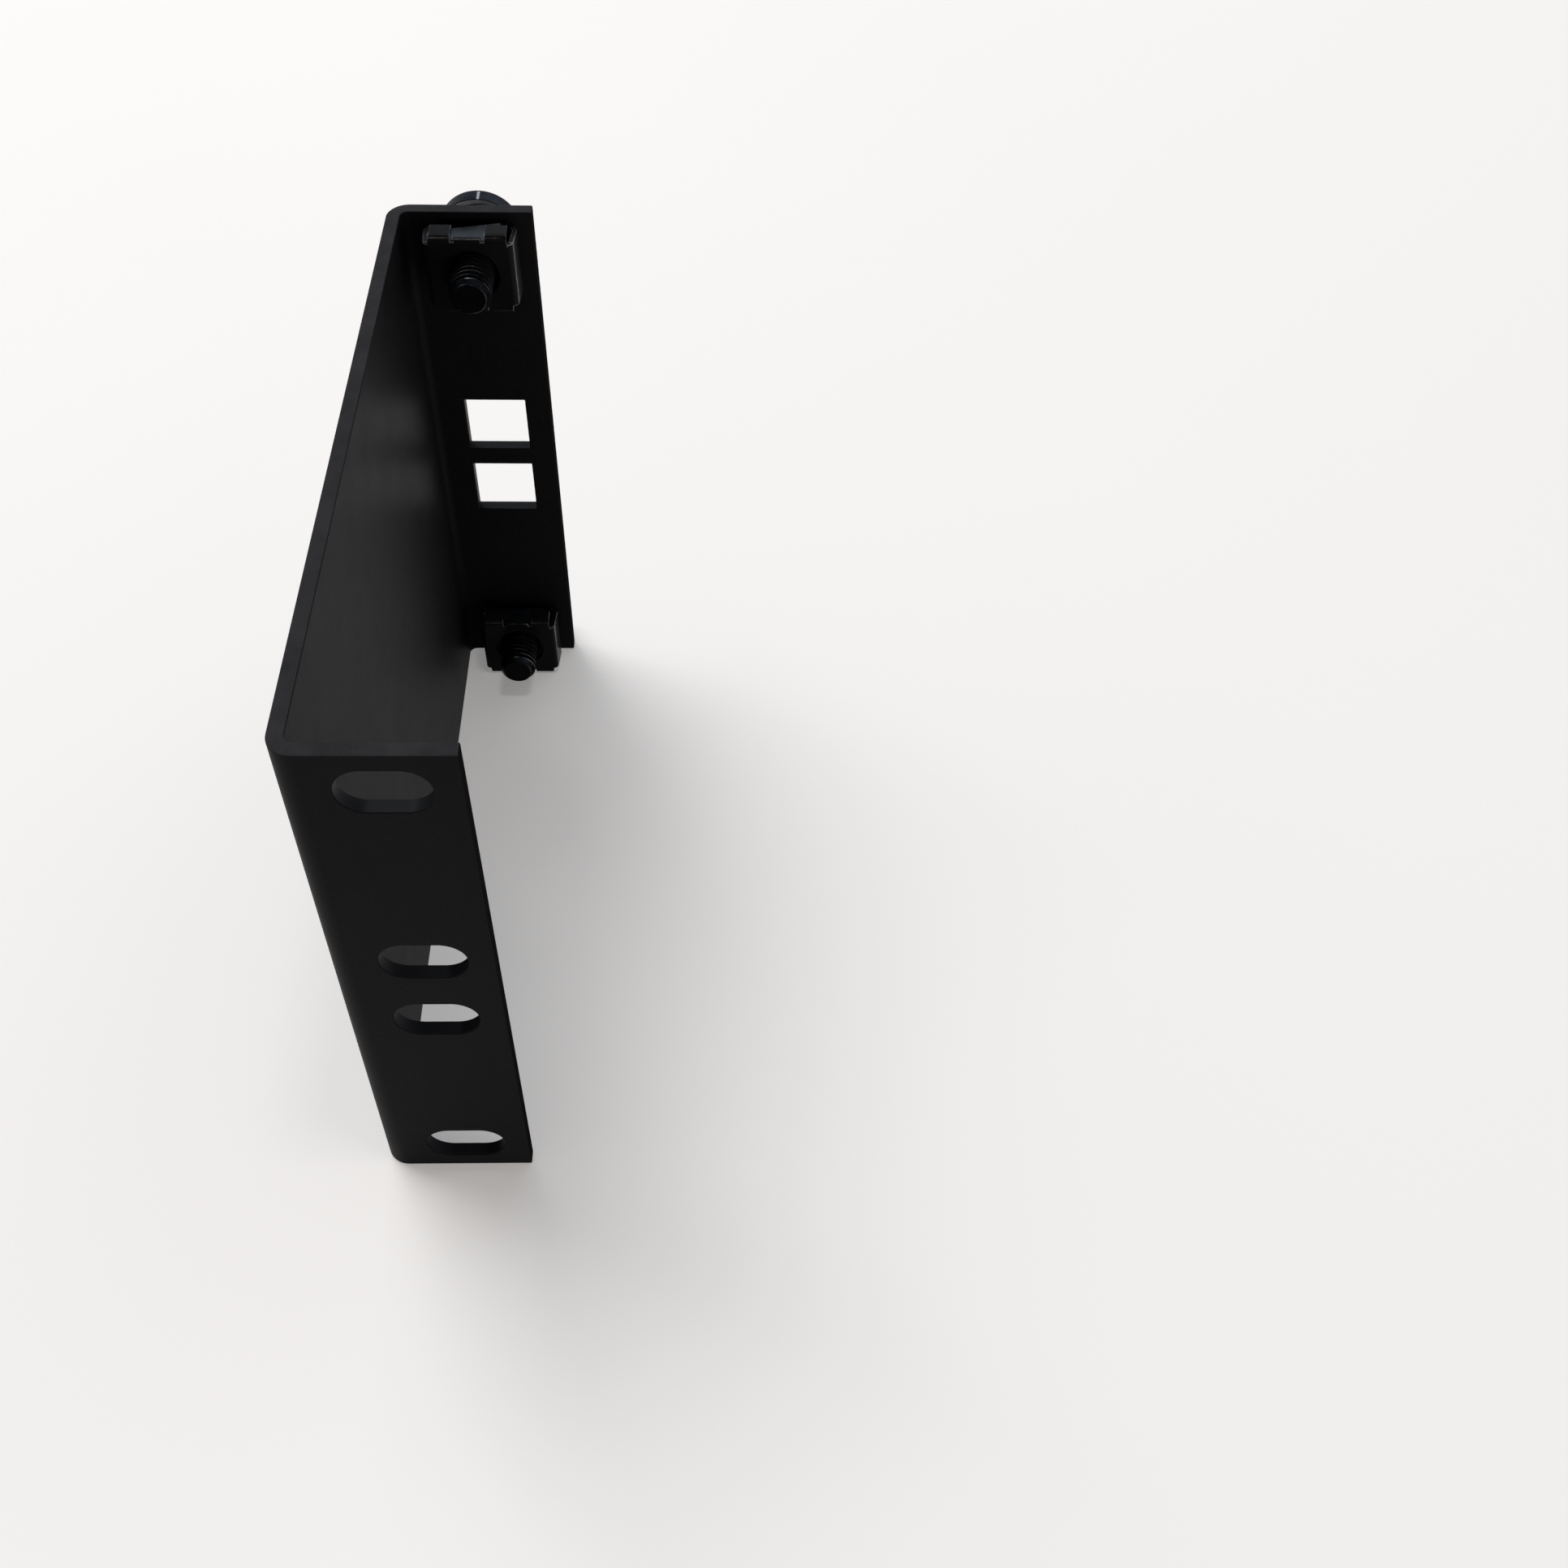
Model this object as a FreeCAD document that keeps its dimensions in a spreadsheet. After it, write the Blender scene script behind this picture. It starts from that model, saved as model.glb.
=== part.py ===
import FreeCAD, Part
import os
import Sketcher

# A rack recessing bracket, two rack units tall: one folded channel of steel sheet, with two caged nuts,
# their screws and washers in its square holes. Origin: outer face of the slotted flange, on the line of the
# slots, at half height. +X points from the web to the free edges of the flanges, +Y from the slotted
# flange to the square-holed one, +Z up.

doc = FreeCAD.newDocument("recess_bracket")

# Driving sizes, in millimetres and degrees
driving_sizes = {
    # folded channel
    "height": 88.1,
    "clear_depth": 101.6,
    "sheet_thickness": 2.0,
    "flange_width": 20.6,
    "hole_setback": 11.9,
    "bend_radius": 1.2,
    # holes of both flanges
    "inner_pitch": 12.7,
    "hole_edge": 5.95,
    "slot_length": 10.8,
    "slot_width": 6.8,
    "square_hole": 9.5,
    # screw
    "thread_diameter": 6.0,
    "screw_length": 16.0,
    "tip_chamfer": 0.6,
    "head_diameter": 12.0,
    "head_height": 4.6,
    "head_rim": 2.7,
    "head_round": 1.0,
    "recess_span": 6.6,
    "recess_width": 2.0,
    "recess_depth": 2.6,
    "recess_draft": 8.0,
    # washer
    "washer_diameter": 12.0,
    "washer_thickness": 1.2,
    "washer_clearance": 0.2,
    "washer_chamfer": 0.2,
    # square nut
    "nut_side": 9.6,
    "nut_thickness": 4.4,
    "nut_corner": 0.3,
    "nut_turn": 7.5,
    "nut_shift": 0.3,
    "nut_countersink": 0.5,
    "thread_clearance": 0.05,
    # sprung cage
    "cage_sheet": 0.7,
    "cage_fold": 0.7,
    "cage_hole_clearance": 1.05,
    "nut_play_up": 0.25,
    "nut_play_side": 0.05,
    "nut_float": 0.15,
    "seat_clearance": 0.05,
    "wall_flare": 0.3,
    "shoulder_height": 2.4,
    "foot_width": 1.6,
    "ear_clearance": 0.15,
    "ear_end_clearance": 0.05,
    "lip_overlap": 0.85,
    "floor_clearance": 0.05,
    "tab_gap": 4.8,
    "tab_width": 3.1,
    "tab_length": 3.1,
    "gap_drop": 0.4,
    "relief_width": 0.5,
    "relief_depth": 0.4,
}
sheet = doc.addObject("Spreadsheet::Sheet", "sizes")
for row, (alias, size) in enumerate(driving_sizes.items(), 1):
    sheet.set(f"A{row}", alias)
    sheet.set(f"B{row}", str(size))
    sheet.setAlias(f"B{row}", alias)
doc.recompute()

# Places and sizes that follow from the driving ones, as expressions
outer_hole = "(sizes.height / 2 - sizes.hole_edge)"
inner_hole = "(sizes.inner_pitch / 2)"
hole_heights = [outer_hole, inner_hole, f"(-{inner_hole})", f"(-{outer_hole})"]
web_outer = "(-sizes.hole_setback)"
free_edge = "(sizes.flange_width - sizes.hole_setback)"
far_inner = "(sizes.sheet_thickness + sizes.clear_depth)"
far_outer = f"({far_inner} + sizes.sheet_thickness)"

# Half the room that the upper nut needs, turned and pushed to one side, and the cage round it
nut_half = "(sizes.nut_side / 2)"
turn = "(sizes.nut_turn * 1deg)"
nut_reach = f"({nut_half} * cos({turn}) + ({nut_half} - sizes.nut_corner) * sin({turn}))"
cage_half_height = f"({nut_reach} + sizes.nut_play_up + sizes.cage_sheet)"
nut_side_reach = f"({nut_reach} + sizes.nut_shift)"
cage_half_width = f"({nut_side_reach} + sizes.nut_play_side + sizes.cage_sheet)"

# The ears have play in the square hole: the upper set hangs down by it, and the lower one is lifted by it
# so that its cage, head and washer clear the surface that the bracket stands on
set_reach = f"max({cage_half_height}; sizes.head_diameter / 2; sizes.washer_diameter / 2)"
set_shift = f"max(0; {set_reach} + sizes.floor_clearance - sizes.hole_edge)"
wall_half_height = f"(sizes.square_hole / 2 - {set_shift} - sizes.ear_end_clearance)"
shoulder_x = f"({cage_half_width} + sizes.wall_flare)"
ear_x = "(sizes.square_hole / 2 - sizes.ear_clearance)"
foot_x = f"({ear_x} + sizes.foot_width)"
lip_x = "(sizes.square_hole / 2 + sizes.lip_overlap)"

# The shoulder of the cage leans in from its wall to its foot; its inner face is one sheet further in
shoulder_slope = f"(({shoulder_x} - {foot_x}) / sizes.shoulder_height)"
shoulder_rise = f"(sizes.cage_sheet * tan(atan({shoulder_slope}) / 2))"
inner_foot_x = f"({foot_x} - sizes.cage_sheet + (sizes.cage_sheet - {shoulder_rise}) * {shoulder_slope})"
nut_seat = (
    f"(sizes.cage_sheet + ({nut_side_reach} + sizes.seat_clearance - {inner_foot_x}) / {shoulder_slope})"
)
cage_reach = f"({nut_seat} + sizes.nut_thickness + sizes.nut_float + sizes.cage_sheet)"
lip_back = "(-sizes.sheet_thickness - sizes.cage_sheet)"
head_seat = f"({lip_back} - sizes.washer_thickness)"
tab_outer = "(sizes.tab_gap / 2 + sizes.tab_width)"


def number(expression):
    return float(sheet.evalExpression(expression))


def new_body(name):
    body = doc.addObject("PartDesign::Body", name)
    body.Label = name
    return body


def new_sketch(body, name, role, offset="0"):
    sketch = body.newObject("Sketcher::SketchObject", f"{body.Label}_{name}")
    origin_plane = next(part for part in body.Origin.OriginFeatures if part.Role == role)
    sketch.AttachmentSupport = [(origin_plane, "")]
    sketch.MapMode = "FlatFace"
    sketch.setExpression("AttachmentOffset.Base.z", offset)
    return sketch


def bind(sketch, constraint, expression):
    index = sketch.addConstraint(constraint)
    sketch.setExpression(f"Constraints[{index}]", expression)


def pin(sketch, piece, end, x, y):
    for kind, expression in (("DistanceX", x), ("DistanceY", y)):
        bind(sketch, Sketcher.Constraint(kind, -1, 1, piece, end, number(expression)), expression)


def spot(x, y):
    return FreeCAD.Vector(number(x), number(y), 0)


def draw_polygon(sketch, corners):
    spots = [spot(x, y) for x, y in corners]
    lines = [
        sketch.addGeometry(Part.LineSegment(start, end))
        for start, end in zip(spots, spots[1:] + spots[:1])
    ]
    for line, following in zip(lines, lines[1:] + lines[:1]):
        sketch.addConstraint(Sketcher.Constraint("Coincident", line, 2, following, 1))
    for line, (x, y) in zip(lines, corners):
        pin(sketch, line, 1, x, y)


def draw_circle(sketch, radius):
    circle = sketch.addGeometry(Part.Circle(FreeCAD.Vector(), FreeCAD.Vector(0, 0, 1), number(radius)))
    sketch.addConstraint(Sketcher.Constraint("Coincident", circle, 3, -1, 1))
    bind(sketch, Sketcher.Constraint("Radius", circle, number(radius)), radius)


def draw_slot(sketch, height):
    radius = "(sizes.slot_width / 2)"
    half = "((sizes.slot_length - sizes.slot_width) / 2)"
    sides = {"right": (half, -90), "left": (f"(-{half})", 90)}
    upward = FreeCAD.Vector(0, 0, 1)
    arcs = {}
    for side, (x, start) in sides.items():
        circle = Part.Circle(spot(x, height), upward, number(radius))
        first = FreeCAD.Units.Quantity(f"{start} deg").getValueAs("rad").Value
        last = FreeCAD.Units.Quantity(f"{start + 180} deg").getValueAs("rad").Value
        arcs[side] = sketch.addGeometry(Part.ArcOfCircle(circle, first, last))
        pin(sketch, arcs[side], 3, x, height)
        bind(sketch, Sketcher.Constraint("Radius", arcs[side], number(radius)), radius)
    for level, start, end in ((1, ("right", 2), ("left", 1)), (-1, ("left", 2), ("right", 1))):
        edge = f"({height} + {level} * {radius})"
        line = sketch.addGeometry(
            Part.LineSegment(spot(sides[start[0]][0], edge), spot(sides[end[0]][0], edge))
        )
        sketch.addConstraint(Sketcher.Constraint("Tangent", line, 1, arcs[start[0]], start[1]))
        sketch.addConstraint(Sketcher.Constraint("Tangent", line, 2, arcs[end[0]], end[1]))


def pad(body, name, sketch, length, side_type="One side"):
    feature = body.newObject("PartDesign::Pad", f"{body.Label}_{name}")
    feature.Profile = sketch
    feature.SideType = side_type
    feature.setExpression("Length", length)
    doc.recompute()
    return feature


def pocket(body, name, sketch, length, backwards=False, draft=None):
    volume_before = body.Shape.Volume
    feature = body.newObject("PartDesign::Pocket", f"{body.Label}_{name}")
    feature.Profile = sketch
    feature.Reversed = backwards
    feature.setExpression("Length", length)
    if draft:
        feature.setExpression("TaperAngle", draft)
    doc.recompute()
    if body.Shape.Volume >= volume_before:
        raise RuntimeError(f"{feature.Label} cuts nothing")
    return feature


def dress(body, kind, name, size_name, size, chosen):
    base = body.Tip
    edges = [f"Edge{place}" for place, edge in enumerate(base.Shape.Edges, 1) if chosen(edge)]
    feature = body.newObject(f"PartDesign::{kind}", f"{body.Label}_{name}")
    feature.Base = (base, edges)
    feature.setExpression(size_name, size)
    doc.recompute()
    return feature


def edge_at(places):
    """Picks the edges whose middle is at one of the places; a place leaves out what it doesn't state."""
    wanted = [{axis: number(value) for axis, value in place.items()} for place in places]

    def chosen(edge):
        middle = edge.CenterOfMass
        return any(
            all(abs(getattr(middle, axis) - value) < 1e-4 for axis, value in place.items())
            for place in wanted
        )

    return chosen


def set_at_hole(body, height, shift="0"):
    """Local frame of what sits in a square hole: origin on the flange's inner face, local Z into the channel."""
    body.Placement = FreeCAD.Placement(FreeCAD.Vector(), FreeCAD.Rotation(FreeCAD.Vector(1, 0, 0), 90))
    body.setExpression("Placement.Base.x", shift)
    body.setExpression("Placement.Base.y", far_inner)
    body.setExpression("Placement.Base.z", height)


# Channel: one profile, bent round two folds, with slots in one flange and square holes in the other
def make_bracket():
    body = new_body("bracket")
    web_inner = f"({web_outer} + sizes.sheet_thickness)"
    profile = new_sketch(body, "profile", "XY_Plane")
    draw_polygon(profile, [
        (free_edge, "0"),
        (free_edge, "sizes.sheet_thickness"),
        (web_inner, "sizes.sheet_thickness"),
        (web_inner, far_inner),
        (free_edge, far_inner),
        (free_edge, far_outer),
        (web_outer, far_outer),
        (web_outer, "0"),
    ])
    pad(body, "channel", profile, "sizes.height", "Symmetric")
    inner_corners = [{"x": web_inner, "y": y} for y in ("sizes.sheet_thickness", far_inner)]
    outer_corners = [{"x": web_outer, "y": y} for y in ("0", far_outer)]
    dress(body, "Fillet", "inner_bend", "Radius", "sizes.bend_radius", edge_at(inner_corners))
    outer_radius = "sizes.bend_radius + sizes.sheet_thickness"
    dress(body, "Fillet", "outer_bend", "Radius", outer_radius, edge_at(outer_corners))

    slots = new_sketch(body, "slots", "XZ_Plane")
    for height in hole_heights:
        draw_slot(slots, height)
    pocket(body, "slot_cut", slots, "sizes.sheet_thickness")

    squares = new_sketch(body, "squares", "XZ_Plane", f"-{far_inner}")
    half = "(sizes.square_hole / 2)"
    for height in hole_heights:
        draw_polygon(squares, [
            (x, f"({height} {y} {half})")
            for x, y in ((half, "+"), (f"(-{half})", "+"), (f"(-{half})", "-"), (half, "-"))
        ])
    pocket(body, "square_cut", squares, "sizes.sheet_thickness")
    return body


# Cage: a strip folded round the nut, whose ears pass through the square hole and hook behind the flange
def make_cage(name, height):
    body = new_body(name)
    inner_face = f"({cage_reach} - sizes.cage_sheet)"
    flare_slope = f"(sizes.wall_flare / ({cage_reach} - sizes.shoulder_height))"
    inner_shoulder_z = f"(sizes.shoulder_height + {shoulder_rise})"

    def inner_wall_x(z):
        return f"({cage_half_width} + {flare_slope} * ({cage_reach} - {z}) - sizes.cage_sheet)"

    ear_inner_x = f"({ear_x} - sizes.cage_sheet)"
    half_strip = [
        (cage_half_width, cage_reach),
        (shoulder_x, "sizes.shoulder_height"),
        (foot_x, "0"),
        (ear_x, "0"),
        (ear_x, "(-sizes.sheet_thickness)"),
        (lip_x, "(-sizes.sheet_thickness)"),
        (lip_x, lip_back),
        (ear_inner_x, lip_back),
        (ear_inner_x, "sizes.cage_sheet"),
        (inner_foot_x, "sizes.cage_sheet"),
        (inner_wall_x(inner_shoulder_z), inner_shoulder_z),
        (inner_wall_x(inner_face), inner_face),
    ]
    strip = new_sketch(body, "strip", "XZ_Plane")
    draw_polygon(strip, half_strip + [(f"(-{x})", z) for x, z in reversed(half_strip)])
    pad(body, "folded_strip", strip, f"2 * {wall_half_height}", "Symmetric")

    # back plate: a quarter of its outline, turned into the other three
    flat_x = f"({cage_half_width} - sizes.cage_fold)"
    flat_y = f"({cage_half_height} - sizes.cage_fold)"
    gap_x = "(sizes.tab_gap / 2)"
    gap_y = f"({cage_half_height} - sizes.gap_drop)"
    relief_x = f"({gap_x} - sizes.relief_width)"
    relief_y = f"({gap_y} - sizes.relief_depth)"
    quarter = [
        (flat_x, wall_half_height),
        (tab_outer, flat_y),
        (tab_outer, cage_half_height),
        (gap_x, cage_half_height),
        (gap_x, relief_y),
        (relief_x, relief_y),
        (relief_x, gap_y),
    ]
    upper_half = quarter + [(f"(-{x})", y) for x, y in reversed(quarter)]
    plate = new_sketch(body, "plate", "XY_Plane", inner_face)
    draw_polygon(plate, upper_half + [(x, f"(-{y})") for x, y in reversed(upper_half)])
    pad(body, "back_plate", plate, "sizes.cage_sheet")

    # four tabs fold over the top and the bottom of the nut
    tabs = new_sketch(body, "tabs", "XY_Plane", f"{cage_reach} - sizes.tab_length")
    tab_inner_y = f"({cage_half_height} - sizes.cage_sheet)"
    for side in ("", "-"):
        for level in ("", "-"):
            draw_polygon(tabs, [
                (f"({side}{x})", f"({level}{y})")
                for x, y in (
                    (gap_x, tab_inner_y),
                    (tab_outer, tab_inner_y),
                    (tab_outer, cage_half_height),
                    (gap_x, cage_half_height),
                )
            ])
    pad(body, "folded_tabs", tabs, "sizes.tab_length")

    hole = new_sketch(body, "hole", "XY_Plane", cage_reach)
    draw_circle(hole, "(sizes.thread_diameter / 2 + sizes.cage_hole_clearance)")
    pocket(body, "screw_hole", hole, "sizes.cage_sheet")

    tab_middle = f"(({gap_x} + {tab_outer}) / 2)"
    folds = [{"x": x, "z": cage_reach} for x in (cage_half_width, f"(-{cage_half_width})")]
    folds += [
        {"x": f"({side}{tab_middle})", "y": f"({level}{cage_half_height})", "z": cage_reach}
        for side in ("", "-")
        for level in ("", "-")
    ]
    dress(body, "Fillet", "folds", "Radius", "sizes.cage_fold", edge_at(folds))
    set_at_hole(body, height)
    return body


# Nut: a square plate with cut corners, loose in its cage; the upper one is turned and pushed against the cage
def make_nut(name, height, shift, angle):
    body = new_body(name)
    corner = f"({nut_half} - sizes.nut_corner)"
    signs = (("", ""), ("-", ""), ("-", "-"), ("", "-"))
    outline = new_sketch(body, "outline", "XY_Plane", nut_seat)
    outline.setExpression("AttachmentOffset.Rotation.Angle", angle)
    corners = []
    for x_sign, y_sign in signs:
        ends = [
            (f"({x_sign}{nut_half})", f"({y_sign}{corner})"),
            (f"({x_sign}{corner})", f"({y_sign}{nut_half})"),
        ]
        corners += ends if x_sign == y_sign else reversed(ends)
    draw_polygon(outline, corners)
    draw_circle(outline, "(sizes.thread_diameter / 2 + sizes.thread_clearance)")
    pad(body, "square", outline, "sizes.nut_thickness")
    mouths = [{"x": "0", "y": "0", "z": z} for z in (nut_seat, f"({nut_seat} + sizes.nut_thickness)")]
    bore_length = number("pi * (sizes.thread_diameter + 2 * sizes.thread_clearance)")
    at_mouth = edge_at(mouths)
    dress(
        body, "Chamfer", "countersinks", "Size", "sizes.nut_countersink",
        lambda edge: at_mouth(edge) and abs(edge.Length - bore_length) < 1e-3,
    )
    set_at_hole(body, height, shift)
    return body


# Washer: a flat ring between the hooked ears of the cage and the screw head
def make_washer(name, height, shift):
    body = new_body(name)
    ring = new_sketch(body, "ring", "XY_Plane", head_seat)
    draw_circle(ring, "(sizes.washer_diameter / 2)")
    draw_circle(ring, "(sizes.thread_diameter / 2 + sizes.washer_clearance)")
    pad(body, "disc", ring, "sizes.washer_thickness")
    outer_length = number("pi * sizes.washer_diameter")
    dress(
        body, "Chamfer", "outer_edges", "Size", "sizes.washer_chamfer",
        lambda edge: abs(edge.Length - outer_length) < 1e-3,
    )
    set_at_hole(body, height, shift)
    return body


# Screw: a pan head behind the flange and a shank through the washer, the cage and the nut
def make_screw(name, height, shift):
    body = new_body(name)
    tip = f"({head_seat} + sizes.screw_length)"
    rim = f"({head_seat} - sizes.head_rim)"
    crown = f"({head_seat} - sizes.head_height)"
    shank = "(sizes.thread_diameter / 2)"
    head = "(sizes.head_diameter / 2)"
    profile = new_sketch(body, "profile", "XZ_Plane")
    corners = [
        ("0", crown),
        ("0", tip),
        (f"({shank} - sizes.tip_chamfer)", tip),
        (shank, f"({tip} - sizes.tip_chamfer)"),
        (shank, head_seat),
        (head, head_seat),
        (head, rim),
    ]
    spots = [spot(x, z) for x, z in corners]
    lines = [
        profile.addGeometry(Part.LineSegment(start, end)) for start, end in zip(spots, spots[1:])
    ]
    for line, following in zip(lines, lines[1:]):
        profile.addConstraint(Sketcher.Constraint("Coincident", line, 2, following, 1))
    for line, (x, z) in zip(lines, corners):
        pin(profile, line, 1, x, z)
    pin(profile, lines[-1], 2, head, rim)
    dome_height = number("sizes.head_height - sizes.head_rim")
    dome_radius = (number(head) ** 2 + dome_height**2) / (2 * dome_height)
    dome_low = FreeCAD.Vector(number(head) / 2, 0, 0)
    dome_low.y = number(crown) + dome_radius - (dome_radius**2 - dome_low.x**2) ** 0.5
    dome = profile.addGeometry(Part.Arc(spots[0], dome_low, spots[-1]))
    profile.addConstraint(Sketcher.Constraint("Coincident", dome, 1, lines[0], 1))
    profile.addConstraint(Sketcher.Constraint("Coincident", dome, 2, lines[-1], 2))
    profile.addConstraint(Sketcher.Constraint("PointOnObject", dome, 3, -2))
    turned = body.newObject("PartDesign::Revolution", f"{name}_turned")
    turned.Profile = profile
    turned.ReferenceAxis = (profile, ["V_Axis"])
    turned.Angle = 360
    doc.recompute()
    rim_length = number("pi * sizes.head_diameter")
    at_rim = edge_at([{"z": rim}])
    dress(
        body, "Fillet", "head_edge", "Radius", "sizes.head_round",
        lambda edge: at_rim(edge) and abs(edge.Length - rim_length) < 1e-2,
    )

    recess = new_sketch(body, "recess", "XY_Plane", crown)
    arm = "(sizes.recess_span / 2)"
    half = "(sizes.recess_width / 2)"
    quarter = [(half, arm), (half, half), (arm, half)]
    right = quarter + [(x, f"(-{y})") for x, y in reversed(quarter)]
    draw_polygon(recess, right + [(f"(-{x})", y) for x, y in reversed(right)])
    pocket(body, "cross_recess", recess, "sizes.recess_depth", True, "-sizes.recess_draft")
    set_at_hole(body, height, shift)
    return body


sub_parts = [make_bracket()]
# height of each set, and how far its nut is pushed aside and turned
levels = {
    "upper": (f"({outer_hole} - {set_shift})", "sizes.nut_shift", turn),
    "lower": (f"({set_shift} - {outer_hole})", "0", "0"),
}
for level, (height, shift, angle) in levels.items():
    sub_parts += [
        make_cage(f"{level}_cage", height),
        make_nut(f"{level}_nut", height, shift, angle),
        make_washer(f"{level}_washer", height, shift),
        make_screw(f"{level}_screw", height, shift),
    ]
doc.recompute()

failed = [item.Label for item in doc.Objects if {"Invalid", "Error"} & set(item.State)]
failed += [body.Label for body in sub_parts if body.Shape.isNull() or not body.Shape.isValid()]
if failed:
    raise RuntimeError(f"failed: {failed}")

os.makedirs("parts", exist_ok=True)
for body in sub_parts:
    body.Shape.exportStep(f"parts/{body.Label}.step")
    box = body.Shape.BoundBox
    print(body.Label, len(body.Shape.Solids), round(body.Shape.Volume, 2), box)
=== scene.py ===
import math
import bmesh
import bpy
from mathutils import Matrix, Vector


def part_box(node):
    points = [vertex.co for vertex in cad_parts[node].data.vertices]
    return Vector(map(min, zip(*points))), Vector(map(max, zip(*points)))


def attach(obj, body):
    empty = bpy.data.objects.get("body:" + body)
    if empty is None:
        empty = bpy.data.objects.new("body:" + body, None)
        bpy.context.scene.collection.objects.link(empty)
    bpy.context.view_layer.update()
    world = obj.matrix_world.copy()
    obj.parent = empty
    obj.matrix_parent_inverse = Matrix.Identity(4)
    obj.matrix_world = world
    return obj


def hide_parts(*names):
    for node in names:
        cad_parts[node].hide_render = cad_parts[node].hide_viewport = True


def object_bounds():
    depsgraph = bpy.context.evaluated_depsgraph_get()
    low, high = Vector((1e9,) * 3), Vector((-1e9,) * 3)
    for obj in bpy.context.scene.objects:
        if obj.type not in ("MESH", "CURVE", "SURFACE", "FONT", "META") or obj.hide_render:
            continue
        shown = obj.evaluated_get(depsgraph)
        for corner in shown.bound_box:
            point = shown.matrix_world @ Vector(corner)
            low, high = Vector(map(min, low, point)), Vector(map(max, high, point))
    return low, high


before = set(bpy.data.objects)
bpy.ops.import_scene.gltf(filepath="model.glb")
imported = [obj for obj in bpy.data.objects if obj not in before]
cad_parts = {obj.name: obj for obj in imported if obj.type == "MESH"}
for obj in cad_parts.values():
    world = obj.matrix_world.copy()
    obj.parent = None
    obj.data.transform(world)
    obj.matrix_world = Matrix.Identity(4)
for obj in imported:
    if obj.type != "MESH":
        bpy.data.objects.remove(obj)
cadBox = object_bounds()
scene = bpy.context.scene
mm = 0.001  # pieces are drawn in millimetres and scaled at the end
near = 0.001  # millimetres within which two places count as the same
print("frame loaded:", ", ".join(sorted(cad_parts)))


# shared helpers

def linear(hexText):
    channels = [int(hexText[i:i + 2], 16) / 255 for i in (1, 3, 5)]
    return tuple(c / 12.92 if c <= 0.04045 else ((c + 0.055) / 1.055) ** 2.4 for c in channels) + (1.0,)


def addNode(tree, kind, settings=None, links=None):
    node = tree.nodes.new(kind)
    for name, value in (settings or {}).items():
        if isinstance(name, int) or name in node.inputs:
            node.inputs[name].default_value = value
        else:
            setattr(node, name, value)
    for name, source in (links or {}).items():
        tree.links.new(source, node.inputs[name])
    return node


def sharpEdges(bm, degrees):
    limit = math.radians(degrees)
    return [e for e in bm.edges if len(e.link_faces) == 2 and e.calc_face_angle(0) > limit]


def roundEdges(bm, edges, size, segments):
    bmesh.ops.bevel(
        bm, geom=edges, offset=size, offset_type="OFFSET", segments=segments, profile=0.5,
        affect="EDGES", clamp_overlap=False, material=-1,
    )


def addLoop(bm, sides, width, height, place=(0, 0), stretch=0.0):
    # closed loop of edges, flat side up; stretch pulls its two halves apart along x
    verts = bmesh.ops.create_circle(bm, cap_ends=False, segments=sides, radius=1)["verts"]
    bmesh.ops.rotate(bm, verts=verts, cent=(0, 0, 0), matrix=Matrix.Rotation(math.pi / sides, 3, "Z"))
    reach = math.cos(math.pi / sides)
    bmesh.ops.scale(bm, verts=verts, vec=(width / 2 / reach, height / 2 / reach, 1))
    for side in (1, -1):
        half = [v for v in verts if v.co.x * side > 0]
        bmesh.ops.translate(bm, verts=half, vec=(side * stretch / 2, 0, 0))
    bmesh.ops.translate(bm, verts=verts, vec=(place[0], place[1], 0))


def fillFlat(bm):
    # fills between the outline and the holes, then clears the triangles' inner edges
    bmesh.ops.triangle_fill(bm, use_beauty=True, use_dissolve=False, edges=bm.edges[:], normal=(0, 0, 1))
    bmesh.ops.dissolve_limit(bm, angle_limit=0.01, verts=bm.verts[:], edges=bm.edges[:])


def thicken(bm, depth):
    raised = bmesh.ops.extrude_face_region(bm, geom=bm.faces[:])["geom"]
    top = [v for v in raised if isinstance(v, bmesh.types.BMVert)]
    bmesh.ops.translate(bm, verts=top, vec=(0, 0, depth))
    bmesh.ops.recalc_face_normals(bm, faces=bm.faces[:])


def finishPiece(bm, name, node, materials, modifiers=(), sharp=38):
    bmesh.ops.scale(bm, verts=bm.verts[:], vec=(mm, mm, mm))
    mesh = bpy.data.meshes.new(name)
    bm.to_mesh(mesh)
    bm.free()
    for material in materials:
        mesh.materials.append(material)
    mesh.shade_smooth()
    mesh.set_sharp_from_angle(angle=math.radians(sharp))
    piece = bpy.data.objects.new(name, mesh)
    scene.collection.objects.link(piece)
    for kind, settings in modifiers:
        modifier = piece.modifiers.new(kind.lower(), kind)
        for key, value in settings.items():
            setattr(modifier, key, value)
    # keeps the flats flat beside rounded edges
    even = piece.modifiers.new("evenNormals", "WEIGHTED_NORMAL")
    even.keep_sharp = True
    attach(piece, "root")
    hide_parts(node)
    print("made", name, len(mesh.polygons), "faces")


# materials: grain is a fine noise for relief and flecks, cloud a coarse one for tone and gloss

finish = {
    "grainDetail": 2.5, "grainRoughness": 0.55, "cloudDetail": 3.0, "cloudRoughness": 0.6,
    "sawDetail": 2.0, "sawDepthMm": 8.333,
    "fleckBand": 0.08, "toneBand": (0.35, 0.65), "glossBand": (0.3, 0.7),
}


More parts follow.
